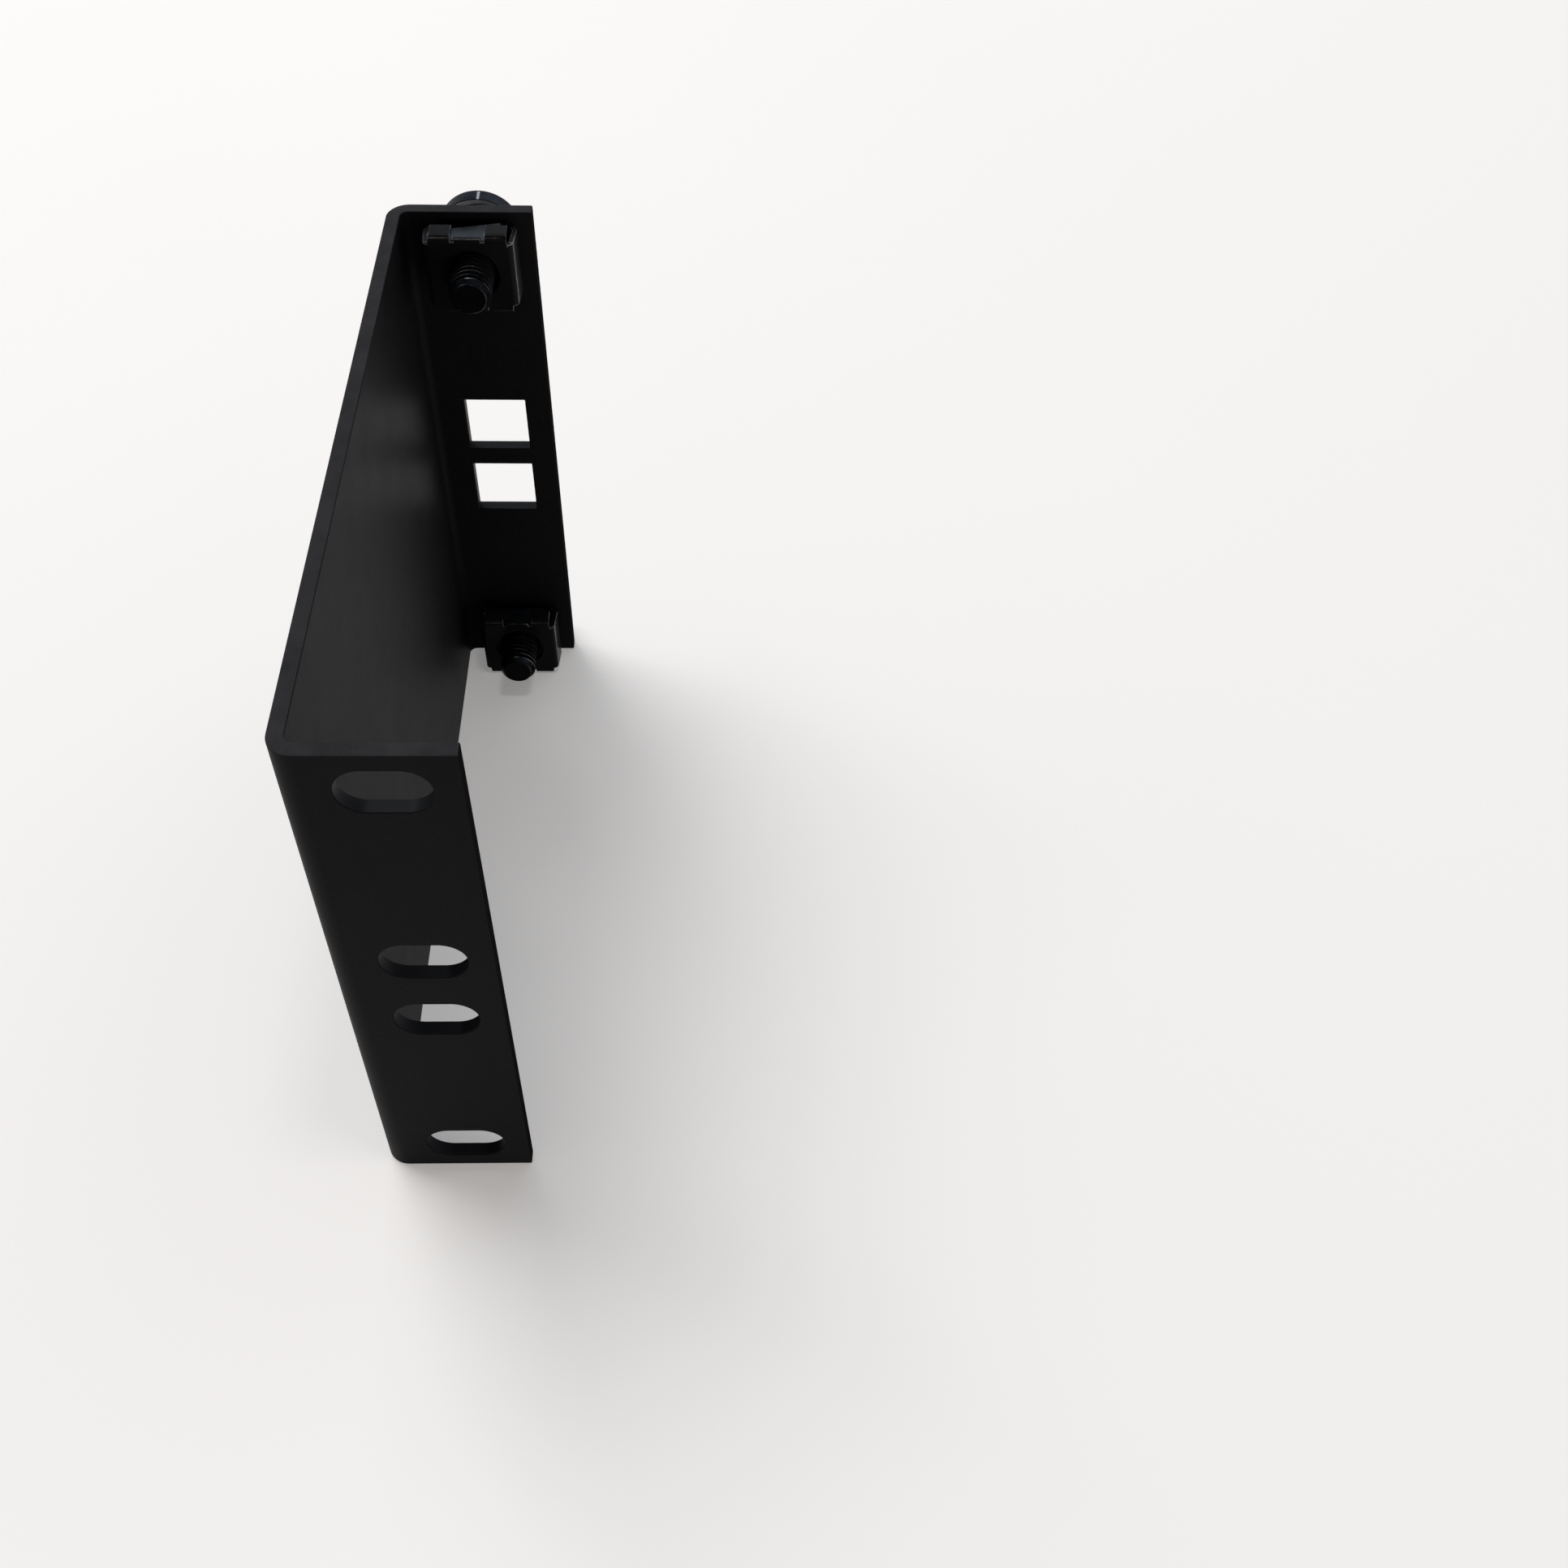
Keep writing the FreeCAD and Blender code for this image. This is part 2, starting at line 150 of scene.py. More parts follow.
# zinc, steel and nylon have a grain too fine to show, so it is drawn 0.25 mm wide or more
def blackFinish(name, look):
    material = bpy.data.materials.new(name)
    material.use_nodes = True
    tree = material.node_tree
    shader = tree.nodes["Principled BSDF"]
    place = addNode(tree, "ShaderNodeTexCoord").outputs["Object"]
    grain = addNode(tree, "ShaderNodeTexNoise", {
        "Scale": 1 / (look["grainMm"] * mm), "Detail": finish["grainDetail"],
        "Roughness": finish["grainRoughness"],
    }, {"Vector": place}).outputs["Fac"]
    cloud = addNode(tree, "ShaderNodeTexNoise", {
        "Scale": 1 / (look["cloudMm"] * mm), "Detail": finish["cloudDetail"],
        "Roughness": finish["cloudRoughness"],
    }, {"Vector": place}).outputs["Fac"]
    height = grain
    if "sawMm" in look:  # striations left by shearing the sheet, across its thickness
        sawScale = 1 / (look["sawMm"] * mm)
        depthScale = 1 / (finish["sawDepthMm"] * mm)
        flat = addNode(tree, "ShaderNodeAttribute", {"attribute_name": "flat"}).outputs["Vector"]
        along = addNode(tree, "ShaderNodeMapping", {
            "Scale": (sawScale, sawScale, depthScale),
        }, {"Vector": flat}).outputs["Vector"]
        saw = addNode(tree, "ShaderNodeTexNoise", {
            "Scale": 1.0, "Detail": finish["sawDetail"],
        }, {"Vector": along}).outputs["Fac"]
        height = addNode(tree, "ShaderNodeMath", {"operation": "ADD"}, {0: grain, 1: saw}).outputs[0]
    # flecks: a few grains in a hundred catch the light
    fleck = addNode(tree, "ShaderNodeMapRange", {
        "From Min": look["fleckFrom"], "From Max": look["fleckFrom"] + finish["fleckBand"],
    }, {"Value": grain}).outputs["Result"]
    tone = addNode(tree, "ShaderNodeMapRange", {
        "From Min": finish["toneBand"][0], "From Max": finish["toneBand"][1],
    }, {"Value": cloud}).outputs["Result"]
    ground = addNode(tree, "ShaderNodeMix", {
        "data_type": "RGBA", 6: linear(look["dark"]), 7: linear(look["light"]),
    }, {0: tone}).outputs[2]
    colour = addNode(tree, "ShaderNodeMix", {
        "data_type": "RGBA", 7: linear(look["fleck"]),
    }, {0: fleck, 6: ground}).outputs[2]
    rough = addNode(tree, "ShaderNodeMapRange", {
        "From Min": finish["glossBand"][0], "From Max": finish["glossBand"][1],
        "To Min": look["rough"][0], "To Max": look["rough"][1],
    }, {"Value": cloud}).outputs["Result"]
    bump = addNode(tree, "ShaderNodeBump", {
        "Strength": look["bump"], "Distance": look["bumpMm"] * mm,
    }, {"Height": height}).outputs["Normal"]
    tree.links.new(colour, shader.inputs["Base Color"])
    tree.links.new(rough, shader.inputs["Roughness"])
    tree.links.new(bump, shader.inputs["Normal"])
    shader.inputs["Metallic"].default_value = look["metallic"]
    shader.inputs["Specular IOR Level"].default_value = look["specular"]
    if "edgeTint" in look:  # keeps a dark metal dark where it is seen at a low angle
        shader.inputs["Specular Tint"].default_value = linear(look["edgeTint"])
    return material


# baked polyester powder coat: satin black with a fine pebbled skin, and hardly a sheen at a low angle
powderCoat = blackFinish("powderCoat", {
    "dark": "#18181a", "light": "#1a1a1c", "fleck": "#212123", "fleckFrom": 0.62,
    "grainMm": 0.5, "cloudMm": 9, "rough": (0.42, 0.46), "bump": 0.35, "bumpMm": 0.05,
    "metallic": 0.0, "specular": 0.02,
})
# the same coat over the sheared edges: thinner, with the shear marks showing through, and greyer as painted
# light where the top edges face the lamps
coatedEdgeAndPaintedLight = blackFinish("coatedEdgeAndPaintedLight", {
    "dark": "#2c2c2e", "light": "#363638", "fleck": "#424245", "fleckFrom": 0.66,
    "grainMm": 0.3, "cloudMm": 5, "rough": (0.56, 0.66), "bump": 0.5, "bumpMm": 0.06, "sawMm": 0.7,
    "metallic": 0.0, "specular": 0.03,
})
# and in the punched holes: smooth, and a little cooler and lighter than on the faces as a painted reflection
# of the cool sky
coatedHolePaintedSheen = blackFinish("coatedHolePaintedSheen", {
    "dark": "#18191b", "light": "#1d1e21", "fleck": "#232427", "fleckFrom": 0.70,
    "grainMm": 0.4, "cloudMm": 5, "rough": (0.42, 0.50), "bump": 0.3, "bumpMm": 0.05,
    "metallic": 0.0, "specular": 0.05,
})
# and along the free edges of the flanges: quite matt
coatedFreeEdge = blackFinish("coatedFreeEdge", {
    "dark": "#18181a", "light": "#1a1a1c", "fleck": "#212123", "fleckFrom": 0.62,
    "grainMm": 0.5, "cloudMm": 9, "rough": (0.70, 0.78), "bump": 0.35, "bumpMm": 0.05,
    "metallic": 0.0, "specular": 0.0,
})
# spring steel in black zinc: near black, smooth, sharp light along its folds
blackZincSpring = blackFinish("blackZincSpring", {
    "dark": "#141415", "light": "#171718", "fleck": "#1d1d1f", "fleckFrom": 0.68,
    "grainMm": 0.25, "cloudMm": 6, "rough": (0.22, 0.28), "bump": 0.12, "bumpMm": 0.03,
    "metallic": 0.0, "specular": 0.03,
})
# the same zinc inside the hole, painted flat black as shade
paintedShadeZincSpring = blackFinish("paintedShadeZincSpring", {
    "dark": "#0c0c0d", "light": "#101011", "fleck": "#151516", "fleckFrom": 0.70,
    "grainMm": 0.25, "cloudMm": 6, "rough": (0.60, 0.70), "bump": 0.1, "bumpMm": 0.02,
    "metallic": 0.0, "specular": 0.0,
})
# bright steel along sharp edges, thread crests and folds: thin bright lines, partly zinc rubbed through and
# partly painted highlight
rubbedEdgeAndPaintedHighlight = blackFinish("rubbedEdgeAndPaintedHighlight", {
    "dark": "#1b1c1e", "light": "#7e8185", "fleck": "#a2a4a7", "fleckFrom": 0.64,
    "grainMm": 0.25, "cloudMm": 1.8, "rough": (0.28, 0.40), "bump": 0.15, "bumpMm": 0.02,
    "metallic": 1.0, "specular": 0.5,
})
# pressed steel nut in black zinc worn thin: blue grey, dull metallic
wornZincNut = blackFinish("wornZincNut", {
    "dark": "#181d22", "light": "#242c34", "fleck": "#303841", "fleckFrom": 0.64,
    "grainMm": 0.25, "cloudMm": 3, "rough": (0.30, 0.45), "bump": 0.25, "bumpMm": 0.03,
    "metallic": 0.7, "specular": 0.5,
})
# threaded shank in black zinc, dulled by oil and wear
dullZincShank = blackFinish("dullZincShank", {
    "dark": "#0a0a0c", "light": "#0f0f12", "fleck": "#151618", "fleckFrom": 0.70,
    "grainMm": 0.35, "cloudMm": 3, "rough": (0.24, 0.32), "bump": 0.08, "bumpMm": 0.02,
    "metallic": 0.0, "specular": 0.02,
})
# chamfer at the screw's tip in a lighter steel grey: a painted highlight round the tip
paintedHighlightTip = blackFinish("paintedHighlightTip", {
    "dark": "#0d0f12", "light": "#1f2429", "fleck": "#30363c", "fleckFrom": 0.68,
    "grainMm": 0.25, "cloudMm": 1.8, "rough": (0.28, 0.40), "bump": 0.15, "bumpMm": 0.02,
    "metallic": 0.7, "specular": 0.05,
})
# screw in glossy black zinc: a mirror-dark head that shows the lamps as small hard streaks
glossZincScrew = blackFinish("glossZincScrew", {
    "dark": "#35363a", "light": "#48494e", "fleck": "#56575c", "fleckFrom": 0.70,
    "grainMm": 0.35, "cloudMm": 3, "rough": (0.07, 0.12), "bump": 0.05, "bumpMm": 0.02,
    "metallic": 1.0, "specular": 0.5, "edgeTint": "#b8b8b8",
})
# moulded nylon washer: black, softer in its shine than the screw
blackNylon = blackFinish("blackNylon", {
    "dark": "#0e0e0e", "light": "#151515", "fleck": "#1b1b1b", "fleckFrom": 0.70,
    "grainMm": 0.3, "cloudMm": 3, "rough": (0.28, 0.36), "bump": 0.08, "bumpMm": 0.02,
    "metallic": 0.0, "specular": 0.2,
})
print("materials ready")


# folded channel: a flat blank with its holes, rounded along every cut edge, then folded twice

channel = {
    "height": 88.1, "clearDepth": 101.6, "sheet": 2.0, "flange": 20.6, "setback": 11.9,
    "innerBend": 1.2, "bendAllowance": 3.27, "bendSteps": 14,
    "holeHeights": (38.1, 6.35, -6.35, -38.1), "slotLength": 10.8, "slotWidth": 6.8, "slotSides": 46,
    "squareHole": 9.5, "sharpAngle": 40, "edgeRound": 0.17, "edgeSegments": 3,
}
outerBend = channel["innerBend"] + channel["sheet"]
bendLength = channel["bendAllowance"]
flangeFlat = channel["flange"] - outerBend
webFlat = channel["clearDepth"] + 2 * channel["sheet"] - 2 * outerBend
blankLength = 2 * (flangeFlat + bendLength) + webFlat
freeEdge = channel["flange"] - channel["setback"]
farInner = channel["sheet"] + channel["clearDepth"]
farOuter = farInner + channel["sheet"]
bendCentreX = freeEdge - flangeFlat


def foldPoint(flat):
    # flat x runs along the sheet from the slotted flange, y up, z through the sheet from its outer face
    along, up, depth = flat
    radius = outerBend - depth
    if along <= flangeFlat:
        return Vector((freeEdge - along, depth, up))
    along -= flangeFlat
    if along <= bendLength:
        turn = along / bendLength * math.pi / 2
        return Vector((bendCentreX - radius * math.sin(turn), outerBend - radius * math.cos(turn), up))
    along -= bendLength
    if along <= webFlat:
        return Vector((bendCentreX - radius, outerBend + along, up))
    along -= webFlat
    if along <= bendLength:
        turn = along / bendLength * math.pi / 2
        farBend = farOuter - outerBend
        return Vector((bendCentreX - radius * math.cos(turn), farBend + radius * math.sin(turn), up))
    return Vector((bendCentreX + along - bendLength, farOuter - depth, up))


def makeChannel():
    bm = bmesh.new()
    addLoop(bm, 4, blankLength, channel["height"], (blankLength / 2, 0))
    slot = channel["slotWidth"]
    square = channel["squareHole"]
    for height in channel["holeHeights"]:
        addLoop(bm, channel["slotSides"], slot, slot, (freeEdge, height), channel["slotLength"] - slot)
        addLoop(bm, 4, square, square, (blankLength - freeEdge, height))
    fillFlat(bm)
    for start in (flangeFlat, flangeFlat + bendLength + webFlat):
        for step in range(channel["bendSteps"] + 1):
            station = start + bendLength * step / channel["bendSteps"]
            bmesh.ops.bisect_plane(
                bm, geom=bm.verts[:] + bm.edges[:] + bm.faces[:],
                plane_co=(station, 0, 0), plane_no=(1, 0, 0),
            )
    thicken(bm, channel["sheet"])
    for face in bm.faces:
        if abs(face.normal.z) > 0.5:
            continue  # both sides of the sheet keep the plain coat
        middle = face.calc_center_median()
        if abs(middle.y) > channel["height"] / 2 - near:
            face.material_index = 1  # sheared top and bottom
        elif near < middle.x < blankLength - near:
            face.material_index = 2  # hole walls
        else:
            face.material_index = 3  # free edges
    cutEdges = sharpEdges(bm, channel["sharpAngle"])
    roundEdges(bm, cutEdges, channel["edgeRound"], channel["edgeSegments"])
    flat = bm.verts.layers.float_vector.new("flat")
    for vert in bm.verts:
        vert[flat] = vert.co * mm
        vert.co = foldPoint(vert.co)
    bmesh.ops.recalc_face_normals(bm, faces=bm.faces[:])
    finishPiece(bm, "foldedChannel", "bracket", [
        powderCoat, coatedEdgeAndPaintedLight, coatedHolePaintedSheen, coatedFreeEdge,
    ])


makeChannel()


# what sits in a square hole: drawn with z out of the flange's inner face into the channel, then seated

def seatAtHole(bm, node):
    low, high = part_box(node)
    bmesh.ops.rotate(bm, verts=bm.verts[:], cent=(0, 0, 0), matrix=Matrix.Rotation(math.pi / 2, 3, "X"))
    centre = (low + high) / 2 / mm
    bmesh.ops.translate(bm, verts=bm.verts[:], vec=(centre.x, farInner, centre.z))


# sprung cage: plate with a hole, tabs folded over the nut, side walls down to ears hooked behind the flange

cage = {
    "sheet": 0.7, "reach": 6.271, "halfHeight": 6.296, "halfWidth": 6.396, "fold": 0.8, "foldSteps": 8,
    "wallHalf": 5.0, "earHalf": 4.304, "shoulder": (6.696, 2.4), "foot": 6.2, "ear": 4.6, "lip": 5.6,
    "hole": 8.1, "holeSides": 56, "tabGap": 4.8, "tabWidth": 3.1, "tabLength": 3.1, "gapDrop": 0.4,
    "reliefWidth": 0.5, "reliefDepth": 0.5, "creaseAngle": 12.5, "softFold": 0.3, "softSegments": 3,
    "edgeAngle": 50, "edgeRound": 0.09, "edgeSegments": 2,
    "wallHighlightTilt": (0.1, 0.3), "tabHighlightTilt": (0.7, 0.82),  # how far a face tilts up, as its normal's z, for the painted highlight along the folds
    "paintedShadeBelow": 0.1, "brightEdgeAbove": 0.35,  # levels above the flange
}


def pullEdges(bm, edges, vec):
    pulled = bmesh.ops.extrude_edge_only(bm, edges=edges)["geom"]
    bmesh.ops.translate(bm, verts=[v for v in pulled if isinstance(v, bmesh.types.BMVert)], vec=vec)
    return [e for e in pulled if isinstance(e, bmesh.types.BMEdge) and all(v in pulled for v in e.verts)]


def turnEdges(bm, edges, centre, axis, angle):
    verts = list({v for e in edges for v in e.verts})
    turned = bmesh.ops.spin(
        bm, geom=verts + edges, cent=centre, axis=axis, angle=angle, steps=cage["foldSteps"],
        use_merge=False,
    )["geom_last"]
    return [e for e in turned if isinstance(e, bmesh.types.BMEdge)]


def makeCage(name, node):
    bm = bmesh.new()
    flatX = cage["halfWidth"] - cage["fold"]
    flatY = cage["halfHeight"] - cage["fold"]
    gapX = cage["tabGap"] / 2
    gapY = cage["halfHeight"] - cage["gapDrop"]
    reliefX = gapX - cage["reliefWidth"]
    reliefY = gapY - cage["reliefDepth"]
    quarter = [
        (flatX, cage["wallHalf"]), (gapX + cage["tabWidth"], flatY), (gapX, flatY),
        (gapX, reliefY), (reliefX, reliefY), (reliefX, gapY),
    ]
    half = quarter + [(-x, y) for x, y in reversed(quarter)]
    outline = [bm.verts.new((x, y, 0)) for x, y in half + [(x, -y) for x, y in reversed(half)]]
    for start, end in zip(outline, outline[1:] + outline[:1]):
        bm.edges.new((start, end))
    addLoop(bm, cage["holeSides"], cage["hole"], cage["hole"])
    fillFlat(bm)
    bmesh.ops.translate(bm, verts=bm.verts[:], vec=(0, 0, cage["reach"]))
    middle = cage["reach"] - cage["fold"]
    shoulderX, shoulderZ = cage["shoulder"]
    lean = math.atan((shoulderX - cage["halfWidth"]) / (cage["reach"] - shoulderZ))

    for side in (1, -1):
        edges = [
            e for e in bm.edges
            if e.is_boundary and all(abs(v.co.x - side * flatX) < near for v in e.verts)
        ]
        edges = turnEdges(bm, edges, (side * flatX, 0, middle), (0, side, 0), math.pi / 2 - lean)
        for x, z in (
            cage["shoulder"], (cage["foot"], 0), (cage["ear"], 0), (cage["ear"], -channel["sheet"]),
            (cage["lip"], -channel["sheet"]),
        ):
            now = edges[0].verts[0].co
            edges = pullEdges(bm, edges, (side * x - now.x, 0, z - now.z))
            if (x, z) == (cage["foot"], 0):  # the wall draws in to the ear's height
                ends = list({v for e in edges for v in e.verts})
                bmesh.ops.scale(bm, verts=ends, vec=(1, cage["earHalf"] / cage["wallHalf"], 1))
        for level in (1, -1):
            edges = [
                e for e in bm.edges if e.is_boundary and all(
                    abs(v.co.y - level * flatY) < near and side * v.co.x > gapX - near
                    and abs(v.co.z - cage["reach"]) < near for v in e.verts
                )
            ]
            edges = turnEdges(bm, edges, (0, level * flatY, middle), (-level, 0, 0), math.pi / 2)
            pullEdges(bm, edges, (0, 0, cage["fold"] - cage["tabLength"]))
    bmesh.ops.recalc_face_normals(bm, faces=bm.faces[:])
    plate = max(bm.faces, key=lambda face: face.calc_area())
    if plate.normal.z < 0:
        bmesh.ops.reverse_faces(bm, faces=bm.faces[:])
    creases = sharpEdges(bm, 90 / cage["foldSteps"] + cage["creaseAngle"])  # more than one step of a fold
    roundEdges(bm, creases, cage["softFold"], cage["softSegments"])

    # fold faces that tilt towards the lamps take a painted highlight; faces behind the flange take painted
    # shade
    for face in bm.faces:
        sideways = abs(face.normal.x) > abs(face.normal.y)
        low, high = cage["wallHighlightTilt"] if sideways else cage["tabHighlightTilt"]
        height = face.calc_center_median().z
        if low < face.normal.z < high and height > middle:
            face.material_index = 1  # painted highlight along the folds at the plate, in the bright edge finish
        elif height < cage["paintedShadeBelow"]:
            face.material_index = 2  # painted shade inside the hole
    holeRadius = cage["hole"] / 2 / math.cos(math.pi / cage["holeSides"])
    brightEdgeWeight = bm.edges.layers.float.new("bevel_weight_edge")
    for edge in bm.edges:
        atHole = all(vert.co.xy.length < holeRadius + near for vert in edge.verts)
        below = all(vert.co.z < cage["brightEdgeAbove"] for vert in edge.verts)
        if edge.is_boundary and not atHole and not below:
            edge[brightEdgeWeight] = 1.0  # bright round the outline, down to the flange: partly rubbed wear, partly painted highlight
    seatAtHole(bm, node)
    edgeRound = {
        "width": cage["edgeRound"] * mm, "segments": cage["edgeSegments"], "use_clamp_overlap": False,
        "harden_normals": True,
    }
    finishPiece(bm, name, node, [blackZincSpring, rubbedEdgeAndPaintedHighlight, paintedShadeZincSpring], [
        ("SOLIDIFY", {"thickness": cage["sheet"] * mm, "offset": -1, "use_even_offset": True}),
        ("BEVEL", {**edgeRound, "limit_method": "WEIGHT", "material": 1}),
        ("BEVEL", {**edgeRound, "limit_method": "ANGLE", "angle_limit": math.radians(cage["edgeAngle"])}),
    ])


# square nut, loose in its cage

nut = {
    "side": 9.6, "thickness": 4.4, "seat": 1.021, "bore": 6.1, "boreSides": 56, "boreZone": 3.6,
    "countersink": 0.5, "sharpAngle": 60, "corner": 0.3, "cornerSegments": 3, "edgeRound": 0.16,
    "edgeSegments": 2, "upperTurn": 7.5,
}


def makeNut(name, node, turn):
    bm = bmesh.new()
    addLoop(bm, 4, nut["side"], nut["side"])
    addLoop(bm, nut["boreSides"], nut["bore"], nut["bore"])
    fillFlat(bm)
    bmesh.ops.translate(bm, verts=bm.verts[:], vec=(0, 0, nut["seat"]))
    thicken(bm, nut["thickness"])

    def outerEdges():
        edges = sharpEdges(bm, nut["sharpAngle"])
        return [e for e in edges if all(v.co.xy.length > nut["side"] / 2 for v in e.verts)]

    # boreZone is a radius that takes in the bore and its countersinks
    mouths = [
        e for e in sharpEdges(bm, nut["sharpAngle"])
        if all(v.co.xy.length < nut["boreZone"] for v in e.verts)
    ]
    roundEdges(bm, mouths, nut["countersink"], 1)
    corners = [e for e in outerEdges() if abs(e.verts[0].co.z - e.verts[1].co.z) > nut["thickness"] / 2]
    roundEdges(bm, corners, nut["corner"], nut["cornerSegments"])
    roundEdges(bm, outerEdges(), nut["edgeRound"], nut["edgeSegments"])
    for face in bm.faces:  # worn on its sides; its seats near black as painted shade, and the tapped bore dark
        if all(vert.co.xy.length < nut["boreZone"] for vert in face.verts):
            face.material_index = 1
        elif abs(face.normal.z) > 0.9:
            face.material_index = 2
    spun = Matrix.Rotation(math.radians(turn), 3, "Z")
    bmesh.ops.rotate(bm, verts=bm.verts[:], cent=(0, 0, 0), matrix=spun)
    seatAtHole(bm, node)
    finishPiece(bm, name, node, [wornZincNut, dullZincShank, blackZincSpring])


# flat washer between the hooked ears and the screw head

washer = {
    "outer": 12.0, "inner": 6.4, "thickness": 1.2, "sides": 72, "sharpAngle": 60, "edgeRound": 0.2,
    "edgeSegments": 3,
}
lipBack = -channel["sheet"] - cage["sheet"]
headSeat = lipBack - washer["thickness"]


def makeWasher(name, node):
    bm = bmesh.new()
    addLoop(bm, washer["sides"], washer["outer"], washer["outer"])
    addLoop(bm, washer["sides"], washer["inner"], washer["inner"])
    fillFlat(bm)
    bmesh.ops.translate(bm, verts=bm.verts[:], vec=(0, 0, headSeat))
    thicken(bm, washer["thickness"])
    roundEdges(bm, sharpEdges(bm, washer["sharpAngle"]), washer["edgeRound"], washer["edgeSegments"])
    seatAtHole(bm, node)
    finishPiece(bm, name, node, [blackNylon])


# pan head screw with a cross recess and a cut thread

screw = {
    "diameter": 6.0, "length": 16.0, "tipChamfer": 0.7, "tipSkin": 0.01,
    "pitch": 1.0, "rootDepth": 0.61, "rootFlat": 0.25, "crestFlat": 0.125, "threadStart": -1.5,
    "threadSides": 44, "neckRelief": 0.1, "neckTop": 0.3, "neckSink": 0.1, "neckSides": 48,
    "head": 12.0, "headHeight": 4.6, "headRim": 2.7, "headRound": 1.0, "seatChamfer": 0.15,
    "headSides": 96, "domeSteps": 12, "sharpAngle": 32,
    "recessSpan": 6.6, "recessWidth": 2.0, "recessDepth": 2.6, "recessDraft": 8.0, "recessTaper": 0.55,
    "cutterHeight": 4,
}
tip = headSeat + screw["length"]
neckRadius = screw["diameter"] / 2 - screw["neckRelief"]


def spinProfile(bm, points, steps):
    verts = [bm.verts.new((x, 0, z)) for x, z in points]
    edges = [bm.edges.new(pair) for pair in zip(verts, verts[1:])]
    bmesh.ops.spin(
        bm, geom=verts + edges, cent=(0, 0, 0), axis=(0, 0, 1), angle=math.tau, steps=steps,
        use_merge=True,
    )
    bmesh.ops.remove_doubles(bm, verts=bm.verts[:], dist=1e-4)
    bmesh.ops.recalc_face_normals(bm, faces=bm.faces[:])


def headProfile():
    # flat seat, straight side, rounded rim, shallow dome
    rise = screw["headHeight"] - screw["headRim"]
    halfHead = screw["head"] / 2
    corner = screw["headRound"]
    domeRadius = (halfHead ** 2 + rise ** 2) / (2 * rise)
    centre = screw["headHeight"] - domeRadius
    inner = halfHead - corner
    filletZ = centre + math.sqrt((domeRadius - corner) ** 2 - inner ** 2)
    meet = math.atan2(filletZ - centre, inner)
    points = [(neckRadius, 0), (halfHead - screw["seatChamfer"], 0), (halfHead, screw["seatChamfer"])]
    for step in range(screw["domeSteps"] + 1):
        turn = meet * step / screw["domeSteps"]
        points.append((inner + corner * math.cos(turn), filletZ + corner * math.sin(turn)))
    for step in range(1, screw["domeSteps"] + 1):
        turn = meet + (math.pi / 2 - meet) * step / screw["domeSteps"]
        points.append((max(domeRadius * math.cos(turn), 0), centre + domeRadius * math.sin(turn)))
    return [(x, headSeat - z) for x, z in points]


def cutRecess(bm):
    # two tapered blocks that cross, taken out of the dome
    cutter = bmesh.new()
    tall = screw["cutterHeight"]
    draw = 2 * tall * math.tan(math.radians(screw["recessDraft"]))
    long, thin = screw["recessSpan"], screw["recessWidth"]
    for spanX, spanY in ((long, thin), (thin, long)):
        block = bmesh.ops.create_cube(cutter, size=1)["verts"]
        bmesh.ops.scale(cutter, verts=block, vec=(spanX, spanY, tall))
        shrinkX = 1 - draw / (spanX + draw)
        shrinkY = 1 - draw / (spanY + draw) * screw["recessTaper"]
        bottom = [v for v in block if v.co.z > 0]
        bmesh.ops.scale(cutter, verts=bottom, vec=(shrinkX, shrinkY, 1))
    floorZ = headSeat - screw["headHeight"] + screw["recessDepth"]
    bmesh.ops.translate(cutter, verts=cutter.verts[:], vec=(0, 0, floorZ - tall / 2))
    objects = []
    for label, source in (("headBlank", bm), ("recessCutter", cutter)):
        mesh = bpy.data.meshes.new(label)
        source.to_mesh(mesh)
        objects.append(bpy.data.objects.new(label, mesh))
        scene.collection.objects.link(objects[-1])
    cutter.free()
    cut = objects[0].modifiers.new("cut", "BOOLEAN")
    cut.object = objects[1]
    cut.solver = "EXACT"
    cut.use_self = True
    evaluated = objects[0].evaluated_get(bpy.context.evaluated_depsgraph_get())
    bm.clear()
    bm.from_mesh(evaluated.to_mesh())
    evaluated.to_mesh_clear()
    for obj in objects:
        data = obj.data
        bpy.data.objects.remove(obj)
        bpy.data.meshes.remove(data)


